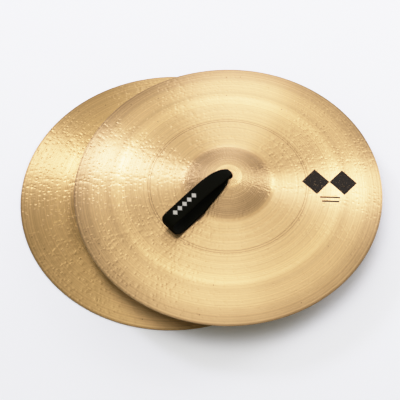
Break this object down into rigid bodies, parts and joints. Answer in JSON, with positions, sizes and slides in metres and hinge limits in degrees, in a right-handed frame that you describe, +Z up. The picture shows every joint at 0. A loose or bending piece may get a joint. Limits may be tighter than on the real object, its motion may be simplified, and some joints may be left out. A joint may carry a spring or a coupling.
{
  "type": "hand cymbals",
  "caption": "Pair of round bronze hand cymbals with domed bells, one lying over the other, each with a leather hand strap knotted through its hole.",
  "frame": {"origin": "middle of the pair's box, on the surface that the lower cymbal's rim stands on", "axes": "+Z up through the bells, +X towards the side the upper cymbal is shifted to, +Y towards the back"},
  "size_m": [0.5402, 0.4722, 0.095],
  "materials": {
    "bronze": "lathed and hammered bell bronze",
    "strap_leather": "black, smooth grain"
  },
  "bodies": {
    "lower_cymbal": {"lower_cymbal": "bronze"},
    "lower_knot": {"lower_strap_thong_1": "strap_leather", "lower_strap_thong_2": "strap_leather", "lower_strap_thong_3": "strap_leather", "lower_strap_thong_4": "strap_leather"},
    "lower_strap": {"lower_strap_loop": "strap_leather"},
    "upper_cymbal": {"upper_cymbal": "bronze"},
    "upper_knot": {"upper_strap_thong_1": "strap_leather", "upper_strap_thong_2": "strap_leather", "upper_strap_thong_3": "strap_leather", "upper_strap_thong_4": "strap_leather"},
    "upper_strap": {"upper_strap_loop": "strap_leather"}
  },
  "joints": [
    {"name": "upper_lift", "type": "slide", "parent": "lower_cymbal", "child": "upper_cymbal", "axis": [0, 0, 1], "range_m": [0, 0.25]},
    {"name": "upper_strap_turn", "type": "hinge", "parent": "upper_cymbal", "child": "upper_knot", "pos_m": [0.0415, -0.0075, 0.0822], "axis": [0, 0, 1], "continuous": true},
    {"name": "upper_strap_swing", "type": "hinge", "parent": "upper_knot", "child": "upper_strap", "pos_m": [0.04127, -0.0077, 0.08815], "axis": [-0.6626, 0.749, 0], "range_deg": [0, 100]},
    {"name": "lower_strap_turn", "type": "hinge", "parent": "lower_cymbal", "child": "lower_knot", "pos_m": [-0.0415, 0.0075, 0.0452], "axis": [0, 0, 1], "continuous": true},
    {"name": "lower_strap_swing", "type": "hinge", "parent": "lower_knot", "child": "lower_strap", "pos_m": [-0.0412, 0.00745, 0.05115], "axis": [-0.1736, -0.9848, 0], "range_deg": [0, 100]}
  ],
  "couplings": [
    {"joint": "lower_strap_swing", "follows": "upper_lift", "rad_per_m": 6.28}
  ]
}
